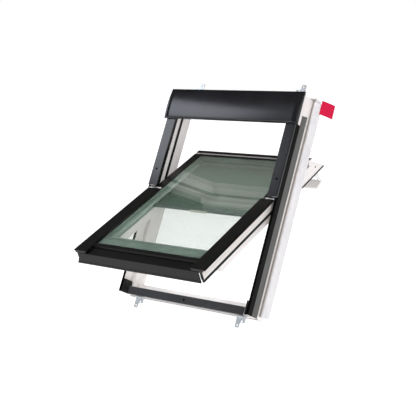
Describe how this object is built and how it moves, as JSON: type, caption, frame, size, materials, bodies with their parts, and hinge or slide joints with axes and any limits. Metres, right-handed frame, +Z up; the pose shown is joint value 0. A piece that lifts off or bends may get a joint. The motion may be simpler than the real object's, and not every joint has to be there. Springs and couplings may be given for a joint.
{
  "type": "roof skylight",
  "caption": "Centre-pivot roof window with dark metal covers, a white frame, a rain hood and a blind; the sash turns about its middle.",
  "frame": {"origin": "on the roof plane that the brackets lie on, under the middle of the sash's pivot line", "axes": "+X across to the right as seen from outside, +Y level into the building, +Z up; the frame leans at the roof's pitch"},
  "size_m": [0.6229, 0.7735, 0.7922],
  "materials": {
    "white_timber": "white paint",
    "grey_cladding": "satin grey coat",
    "dark_cladding": "satin dark coat",
    "grey_metal": "dull",
    "black_rubber": "matt",
    "white_plastic": "extruded",
    "white_film": "film over foam",
    "red_card": "plain",
    "galvanised_steel": "zinc",
    "clear_glass": "clear",
    "grey_spacer": "dull",
    "white_lacquer": "white coat",
    "blind_cloth": "woven",
    "blind_metal": "satin"
  },
  "bodies": {
    "frame": {"bracket_bottom_l": "galvanised_steel", "bracket_bottom_r": "galvanised_steel", "bracket_top_l": "galvanised_steel", "bracket_top_r": "galvanised_steel", "collar_bottom": "white_film", "collar_l": "white_film", "collar_r": "white_film", "collar_top": "white_film", "corner_block_l": "black_rubber", "corner_block_r": "black_rubber", "cover_screws": "dark_cladding", "flashing_strip_l": "grey_metal", "flashing_strip_r": "grey_metal", "frame_head": "white_timber", "frame_hinge_l": "galvanised_steel", "frame_hinge_r": "galvanised_steel", "frame_jamb_l": "white_timber", "frame_jamb_r": "white_timber", "frame_sill": "white_timber", "jamb_gasket": "black_rubber", "pull_tag": "red_card", "rain_hood": "grey_cladding", "side_profile_l": "dark_cladding", "side_profile_r": "dark_cladding", "sill_cover": "grey_cladding", "strike_plate": "galvanised_steel", "upper_cover_l": "grey_cladding", "upper_cover_r": "grey_cladding", "upper_gasket_l": "black_rubber", "upper_gasket_r": "black_rubber", "upper_stop_l": "white_timber", "upper_stop_r": "white_timber"},
    "sash": {"blind_cassette": "blind_metal", "blind_fabric": "blind_cloth", "blind_guide_l": "blind_metal", "blind_guide_r": "blind_metal", "bottom_bead": "dark_cladding", "bottom_cover": "dark_cladding", "inner_pane": "clear_glass", "lock_rail": "white_lacquer", "lower_cover_l": "dark_cladding", "lower_cover_r": "dark_cladding", "outer_pane": "clear_glass", "pane_spacer": "grey_spacer", "rear_seal": "black_rubber", "sash_bottom_rail": "white_timber", "sash_hinge_l": "galvanised_steel", "sash_hinge_r": "galvanised_steel", "sash_stile_l": "white_timber", "sash_stile_r": "white_timber", "sash_top_rail": "white_timber", "side_gasket_l": "black_rubber", "side_gasket_r": "black_rubber", "side_lip_l": "white_plastic", "side_lip_r": "white_plastic", "top_cover": "dark_cladding", "upper_trim": "dark_cladding"},
    "handle": {"handle_bar": "white_lacquer"},
    "latch": {"latch_bolt": "galvanised_steel"},
    "blind": {"blind_bar": "blind_metal"}
  },
  "joints": [
    {"name": "sash_pivot", "type": "hinge", "parent": "frame", "child": "sash", "pos_m": [0, -0.06032, 0.02916], "axis": [-1, 0, 0], "range_deg": [-41.1, 88.9]},
    {"name": "handle_hinge", "type": "hinge", "parent": "sash", "child": "handle", "pos_m": [0, 0.26435, 0.0785], "axis": [1, 0, 0], "range_deg": [0, 22]},
    {"name": "latch_slide", "type": "slide", "parent": "sash", "child": "latch", "axis": [0, 0.9198, 0.3923], "range_m": [0, 0.008]},
    {"name": "blind_slide", "type": "slide", "parent": "sash", "child": "blind", "axis": [0, 0.9198, 0.3923], "range_m": [-0.2, 0.28], "deforming": ["blind_fabric"]}
  ],
  "couplings": [
    {"joint": "latch_slide", "follows": "handle_hinge", "m_per_rad": 0.020834}
  ]
}
